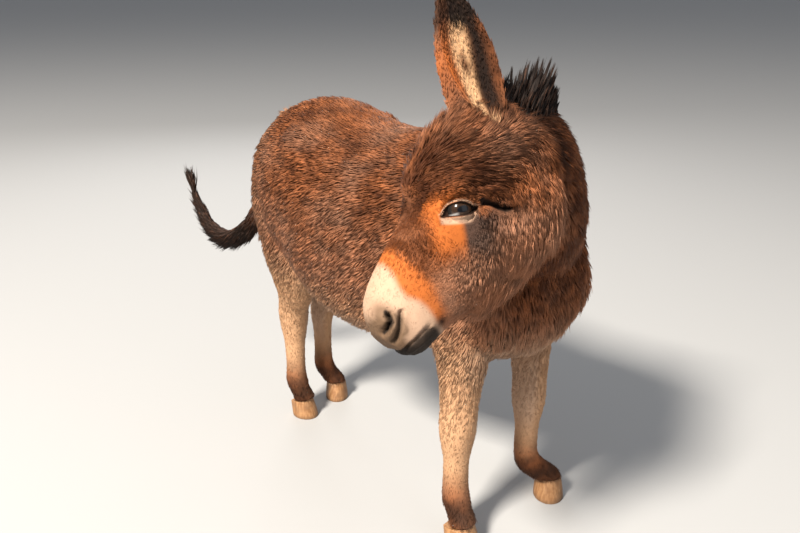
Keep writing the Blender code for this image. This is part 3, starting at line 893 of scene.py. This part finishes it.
def eye_finish(side):
    """A dark brown eye with a wide level pupil and a painted glint low on its inner side."""
    shader = Shader("dark_eye_left" if side > 0 else "dark_eye_right")
    centre, u, v, _ = eye_frame(side)
    inputs = {0: shader.place(), 1: tuple(centre)}
    local = shader.node("ShaderNodeVectorMath", {"operation": "SUBTRACT"}, inputs)

    def along(axis):
        inputs = {0: local, 1: tuple(axis / EYE_RADIUS)}
        return shader.node("ShaderNodeVectorMath", {"operation": "DOT_PRODUCT"}, inputs, 1)

    wide, high = along(u), along(v)
    pupil = ((wide / 0.42) ** 2 + (high / 0.24) ** 2) ** 0.5
    iris = ((wide / 0.78) ** 2 + (high / 0.70) ** 2) ** 0.5
    fibres = shader.noise(260.0, 3.0)
    colour = shader.mix(fibres.between(0.3, 0.7), (0.016, 0.008, 0.005), (0.035, 0.018, 0.010))
    colour = shader.mix(pupil.between(1.12, 0.92), colour, (0.003, 0.003, 0.004))
    colour = shader.mix(iris.between(0.92, 1.06), colour, (0.012, 0.010, 0.009))
    # a painted glint, pale grey, low on the inner side of the eye
    painted_glint = wide.between(0.25, 0.60) * high.between(-0.10, -0.24) * high.between(-0.50, -0.36)
    colour = shader.mix(painted_glint * 0.8, colour, (0.30, 0.28, 0.27))
    shader.set(base_color=colour, roughness=0.16, specular_ior_level=0.25)
    return shader.material


# Tufts

# A tuft's seven points are three round its root, three round its middle and the tip. These are its
# triangles, the place of each point on its patch of the unwrap, and how far along the tuft each is.
TRIANGLES = np.array([
    (0, 2, 1),
    (0, 1, 4), (0, 4, 3), (3, 4, 6),
    (1, 2, 5), (1, 5, 4), (4, 5, 6),
    (2, 0, 3), (2, 3, 5), (5, 3, 6),
])
PATCH_SIZE = 0.003
PATCH = PATCH_SIZE * (
    np.array(((0, 0.2), (0.5, 0), (1, 0.2), (0, 0.6), (0.5, 0.4), (1, 0.6), (0.5, 1))) - 0.5
)
ALONG = np.array((0, 0, 0, 0.5, 0.5, 0.5, 1))


def triangle_sizes(points, triangles):
    """Twice the area of each triangle."""
    a, b, c = points[triangles].transpose(1, 0, 2)
    return np.linalg.norm(np.cross(b - a, c - a), axis=1)


def sampled(skin, chance, count, rng):
    """Roots spread over the skin's triangles: {name: value at each root}."""
    size = triangle_sizes(skin["points"], skin["triangles"])
    weight = size * chance[skin["triangles"]].mean(axis=1)
    picked = rng.choice(len(weight), count, p=weight / weight.sum())
    a, b = rng.random(count), rng.random(count)
    over = a + b > 1
    a, b = np.where(over, 1 - a, a), np.where(over, 1 - b, b)
    shares = np.stack([1 - a - b, a, b], axis=1)
    owners = skin["triangles"][picked]

    def at(values):
        found = values[owners]
        return (found * shares.reshape(shares.shape + (1,) * (found.ndim - 2))).sum(axis=1)

    return {name: at(values) for name, values in skin.items() if name != "triangles"}


def gathered(roots, tips, size, pull, rng):
    """Draws the tips of neighbouring tufts together into locks about size apart."""
    area = size * size
    x, y, z = np.ptp(roots, axis=0)
    count = max(8, min(len(roots) // 4, int(1.2 * (x * y + y * z + x * z) / area)))
    leaders = rng.choice(len(roots), count, replace=False)
    lock = nearest_of(roots, roots[leaders])
    target = tips[leaders][lock] + 0.30 * (roots - roots[leaders][lock])
    strength = (pull * rng.uniform(0.5, 1.3, count)[lock]).clip(0, 0.9)[:, None]
    return tips + (target - tips) * strength, lock, count


def unrolled(points, axis):
    """Places on an unwrap round an axis through their middle: u is the turn, and v the share along it."""
    axis = unit(np.array(axis, float))
    side = unit(np.cross(axis, (0.31, 0.22, 0.93) if abs(axis[2]) < 0.9 else (1.0, 0.2, 0.1)))
    up = np.cross(axis, side)
    local = points - points.mean(axis=0)
    turn = np.arctan2(local @ up, local @ side) / (2 * math.pi) + 0.5
    place = np.stack([turn, local @ axis], axis=1)
    return 0.02 + 0.96 * (place - place.min(axis=0)) / np.ptp(place, axis=0)


def tuft_mesh(name, roots, middles, tips, normals, width, fields, places):
    """Flat three-sided tufts, each bent once, as one mesh."""
    count = len(roots)
    rings = []
    for point, ahead, wide in ((roots, middles - roots, 0.85), (middles, tips - roots, 1.0)):
        side = unit(np.cross(normals, ahead))
        lift = unit(np.cross(ahead, side))
        half = (0.5 * wide * width)[:, None]
        rings += [point - side * half, point + side * half, point + lift * half * 0.9]
    points = np.stack([*rings, tips], axis=1).reshape(-1, 3)
    triangles = (np.arange(count)[:, None, None] * 7 + TRIANGLES[None]).reshape(-1, 3)
    mesh = bpy.data.meshes.new(name)
    mesh.vertices.add(len(points))
    mesh.vertices.foreach_set("co", points.astype(np.float32).ravel())
    mesh.loops.add(triangles.size)
    mesh.loops.foreach_set("vertex_index", triangles.astype(np.int32).ravel())
    mesh.polygons.add(len(triangles))
    mesh.polygons.foreach_set("loop_start", np.arange(0, triangles.size, 3, dtype=np.int32))
    mesh.update(calc_edges=True)
    layer = mesh.uv_layers.new(name="OFBake")
    uv = (places[:, None] + PATCH[None]).reshape(-1, 2)[triangles.ravel()]
    layer.data.foreach_set("uv", uv.clip(0, 1).astype(np.float32).ravel())
    for key, values in fields.items():
        set_field(mesh, key, np.repeat(values, 7))
    set_field(mesh, "tip", np.tile(ALONG, count))
    mesh.shade_smooth()
    return linked(name, mesh)


MARKS = ("umber", "ashen", "muzzle", "rust", "cheek_shadow", "pale", "tan", "nose", "inner_ear", "black")


def grow(name, skin, chance, count, width, clump, axis, seed):
    """A coat piece: tufts at random roots, which lie along the coat and gather into locks."""
    rng = np.random.default_rng(seed)
    at = sampled(skin, chance, count, rng)
    roots, normals = at["points"], unit(at["normals"])
    lie = flattened(at["flow"], normals)
    across = np.cross(normals, lie)
    stray = rng.normal(0, 0.16, count)[:, None]
    lie = unit(lie + across * stray)
    length = at["length"] * rng.uniform(0.72, 1.22, count)
    lift = np.radians(at["lift"] * rng.uniform(0.5, 1.5, count))[:, None]
    start = lie * np.cos(1.6 * lift) + normals * np.sin(1.6 * lift)
    end = lie * np.cos(0.2 * lift) + normals * np.sin(0.2 * lift)
    reach = length[:, None]
    free = roots + reach * 0.5 * (start + end)
    tips, lock, locks = gathered(roots, free, clump, PULL, rng)
    middles = roots + reach * (0.5 * start + 0.125 * (end - start)) + 0.35 * (tips - free)
    shade = (0.45 * rng.random(count) + 0.55 * rng.random(locks)[lock]).clip(0, 1)
    thick = width * np.clip(length / 0.02, 0.22, 1.25) ** 0.7 * rng.uniform(0.7, 1.3, count)
    fields = {key: at[key] for key in (*MARKS, "velvet")} | {"shade": shade}
    places = unrolled(roots, axis)
    return tuft_mesh(name, roots - normals * ROOT_DEPTH, middles, tips, normals, thick, fields, places)


def dressed_skin():
    """The skin piece, and the values at its points that its coat grows from."""
    obj, before = carved_skin()
    mesh = obj.data
    points, normals, edges = points_of(mesh), normals_of(mesh), edges_of(mesh)
    region = region_weights(points, edges)
    length, lift = hair_shape(before, normals, region)
    skin = {
        "points": points,
        "before": before,
        "normals": normals,
        "triangles": triangles_of(mesh),
        "flow": coat_flow(points, normals, edges, region),
        "length": length,
        "lift": lift,
        **markings(before, normals, region),
    }
    smooth = [skin[key] for key in ("rust", "muzzle", "cheek_shadow", "inner_ear", "tan")]
    smooth += [ramp(length, 0.0130, 0.0045), 0.45 * region["trunk"] + 0.30 * region["neck"]]
    skin["velvet"] = np.max(smooth, axis=0)
    fields = {key: skin[key] for key in (*MARKS, "velvet")} | {"shade": np.full(len(points), 0.5)}
    for key, values in fields.items():
        set_field(mesh, key, values)
    mesh.materials.append(skin_finish())
    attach(obj, "root")
    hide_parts(*FLESH)
    return skin, region


def coat(skin, region):
    """Every piece of the coat, by part of the body."""
    finish = hair_finish()
    points = skin["points"]
    h = to_head(points)
    bare = 1 - lid_opening(skin["before"])
    largest = np.max([region[name] for name in FLESH], axis=0)
    own = {name: (region[name] >= largest) * bare for name in FLESH}
    centre = middle("trunk")
    right = points[:, 0] < centre.x
    upper = points[:, 2] > centre.z + 0.06
    face = (1 + 1.2 * ramp(h[:, 0], 0.08, 0.16)) * (1 - 0.80 * skin["muzzle"]) * (1 - 0.75 * skin["rust"])
    left_face = own["head"] * (h[:, 1] >= 0) * face
    brow = h[:, 2] > -0.058
    level, down = (0, 1, 0.02), (0.02, 0.03, 1)
    # Name, chance of a tuft at each point, number of tufts, their width, size of a lock, axis of the unwrap
    pieces = [
        ("coat_flank_right", own["trunk"] * right * ~upper, 17500, 0.0019, 0.016, level),
        ("coat_flank_left", own["trunk"] * ~right * ~upper, 14000, 0.0019, 0.016, level),
        ("coat_back", own["trunk"] * upper, 18500, 0.0019, 0.016, level),
        ("coat_neck", own["neck"], 17000, 0.0019, 0.016, (-0.6, -0.3, 0.7)),
        ("coat_brow_left", left_face * brow, 15500, 0.0015, 0.013, HEAD_AXES[0]),
        ("coat_cheek_left", left_face * ~brow, 15500, 0.0014, 0.008, HEAD_AXES[0]),
        ("coat_head_right", own["head"] * (h[:, 1] < 0) * face, 14500, 0.0017, 0.012, HEAD_AXES[0]),
        ("coat_tail", own["tail_dock"] + own["tail_switch"], 3000, 0.0024, 0.012, down),
    ]
    pieces += [("coat_" + name, own[name], 4500, 0.0012, 0.006, down) for name in LEGS]
    pieces += [("coat_" + name, own[name], 3500, 0.0013, 0.005, down) for name in EARS]
    for seed, (name, chance, *shape) in enumerate(pieces, 1):
        piece = grow(name, skin, chance.astype(float), *shape, seed)
        piece.data.materials.append(finish)
        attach(piece, "root")


def lid_opening(points):
    """1 between the lids and in the crease behind them, where no hair grows."""
    found = np.zeros(len(points))
    for side in (-1, 1):
        u, v, w = eye_place(points, side)
        found += (lid_distance(u, v) < 0.0012) * (np.hypot(u, v) < 0.05) * (w > -0.01) * (w < 0.050)
        found += line_range(points, side, "crease")[0] < FACE_LINES["crease"][0]
    return found.clip(0, 1)


def on_surface(names, count, rng):
    """Random points on CAD nodes' surfaces."""
    mesh = merged_copy(names, 0)
    points, triangles = points_of(mesh), triangles_of(mesh)
    bpy.data.meshes.remove(mesh)
    size = triangle_sizes(points, triangles)
    picked = rng.choice(len(size), count, p=size / size.sum())
    share = rng.dirichlet((1, 1, 1), count)
    return (points[triangles][picked] * share[:, :, None]).sum(axis=1)


def grow_mane(skin):
    """Upright locks, whose tips lie on the surface of the crest's solid."""
    rng = np.random.default_rng(40)
    tips = on_surface(["mane"], 8000, rng)
    body = BVHTree.FromPolygons(skin["points"].tolist(), skin["triangles"].tolist())
    roots, out = np.zeros_like(tips), np.zeros_like(tips)
    for k, tip in enumerate(tips):
        roots[k], out[k], _, _ = body.find_nearest(Vector(tip) - Vector((0, 0, 0.012)))
    outside = ((tips - roots) * out).sum(axis=1) > 0
    kept = outside & (np.linalg.norm(tips - roots, axis=1) > 0.010)
    tips, roots, out = tips[kept], roots[kept], out[kept]
    count = len(roots)
    tips = roots + (tips - roots) * rng.uniform(0.72, 1.10, count)[:, None]
    tips, lock, locks = gathered(roots, tips, 0.014, 0.75, rng)
    tips = roots + (tips - roots) * rng.uniform(0.85, 1.35, locks)[lock][:, None]
    middles = (roots + tips) / 2 + out * 0.002
    shade = 0.5 * rng.random(count) + 0.5 * rng.random(locks)[lock]
    sides = unit(np.cross(tips - roots, rng.normal(0, 1, (count, 3))))
    width = 0.0028 * rng.uniform(0.7, 1.3, count)
    places = unrolled(roots, (0.5, 0.4, -0.3))
    roots = roots - out * 0.002
    return tuft_mesh("mane_hair", roots, middles, tips, sides, width, {"shade": shade}, places)


def grow_switch(skin, region):
    """Long dark locks that make the tail's brush."""
    rng = np.random.default_rng(50)
    at = sampled(skin, region["tail_switch"] ** 2, 3500, rng)
    roots, normals = at["points"], unit(at["normals"])
    lie = unit(at["flow"] + rng.normal(0, 0.05, roots.shape))
    length = 0.050 * rng.uniform(0.6, 1.2, len(roots))[:, None]
    tips = roots + length * unit(lie + normals * 0.10)
    middles = roots + length * 0.5 * unit(lie + normals * 0.20)
    tips, lock, locks = gathered(roots, tips, 0.010, 0.5, rng)
    shade = 0.5 * rng.random(len(roots)) + 0.5 * rng.random(locks)[lock]
    width = 0.0026 * rng.uniform(0.7, 1.3, len(roots))
    places = unrolled(roots, (-0.3, 0.8, 0.2))
    roots = roots - normals * 0.001
    return tuft_mesh("tail_hair", roots, middles, tips, normals, width, {"shade": shade}, places)


# Eyes and hooves


def eyeball(name, side):
    centre, u, v, w = eye_frame(side)
    bm = bmesh.new()
    turn = Matrix((u, v, w)).transposed().to_4x4()
    matrix = Matrix.Translation(centre) @ turn
    bmesh.ops.create_uvsphere(bm, u_segments=64, v_segments=40, radius=EYE_RADIUS, matrix=matrix)
    mesh = mesh_from(bm, name)
    mesh.shade_smooth()
    mesh.materials.append(eye_finish(side))
    ball = linked(name.replace("eye", "eyeball"), mesh)
    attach(ball, "root")
    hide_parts(name)


def hoof(name, finish):
    """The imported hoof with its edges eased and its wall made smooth."""
    bm = bmesh.new()
    bm.from_mesh(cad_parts[name].data)
    bmesh.ops.remove_doubles(bm, verts=bm.verts, dist=WELD)
    bmesh.ops.dissolve_limit(bm, angle_limit=math.radians(1), verts=bm.verts, edges=bm.edges)
    made = linked(name + "_horn", mesh_from(bm, name + "_horn"))
    bevel = made.modifiers.new("bevel", "BEVEL")
    bevel.width, bevel.segments, bevel.limit_method, bevel.angle_limit = 0.0018, 3, "ANGLE", math.radians(35)
    fine = made.modifiers.new("fine", "SUBSURF")
    fine.levels = fine.render_levels = 2
    applied(made)
    made.data.shade_smooth()
    made.data.materials.append(finish)
    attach(made, "root")
    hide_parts(name)


# Studio


def camera():
    data = bpy.data.cameras.new("camera")
    data.sensor_width, data.lens, data.clip_start = SENSOR, LENS, 0.05
    place = linked("camera", data)
    level = math.cos(CAMERA_PITCH)
    ahead = Vector((math.sin(CAMERA_YAW) * level, math.cos(CAMERA_YAW) * level, -math.sin(CAMERA_PITCH)))
    place.rotation_mode = "QUATERNION"
    place.rotation_quaternion = ahead.to_track_quat("-Z", "Y")
    place.location = CAMERA_PLACE
    bpy.context.scene.camera = place


def lamp(name, energy, size, place, target, tint=(1, 1, 1)):
    data = bpy.data.lights.new(name, "AREA")
    data.energy, data.size, data.color = energy, size, tint
    made = linked(name, data)
    made.location = place
    made.rotation_euler = (Vector(place) - Vector(target)).to_track_quat("Z", "Y").to_euler()


def studio():
    bm = bmesh.new()
    bmesh.ops.create_grid(bm, x_segments=1, y_segments=1, size=60)
    floor = linked("floor", mesh_from(bm, "floor"))
    paint = Shader("floor_paint")
    paint.set(base_color=(0.36, 0.355, 0.35), roughness=0.9)
    floor.data.materials.append(paint.material)
    aim = (0, -0.1, 0.6)
    lamp("key", 2700, 1.6, (-6.4, -1.4, 7.1), aim, (1.0, 0.94, 0.85))
    lamp("fill", 35, 3.0, (0.2, -3.8, 2.2), aim, (0.90, 0.95, 1.0))
    lamp("back", 60, 2.0, (2.0, 3.2, 2.6), aim)
    world = bpy.data.worlds.new("studio")
    world.use_nodes = True
    colour, strength = world.node_tree.nodes["Background"].inputs[:2]
    colour.default_value, strength.default_value = (0.84, 0.88, 0.95, 1), 0.40
    bpy.context.scene.world = world
    bpy.context.scene.view_settings.view_transform = "Standard"


def main():
    studio()
    camera()
    skin, region = dressed_skin()
    coat(skin, region)
    dark = dark_hair_finish()
    for piece, node in ((grow_mane(skin), "mane"), (grow_switch(skin, region), None)):
        piece.data.materials.append(dark)
        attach(piece, "root")
        if node:
            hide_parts(node)
    for name, side in (("eye_left", 1), ("eye_right", -1)):
        eyeball(name, side)
    horn = horn_finish()
    for name in ("forehoof_left", "forehoof_right", "hindhoof_left", "hindhoof_right"):
        hoof(name, horn)


main()
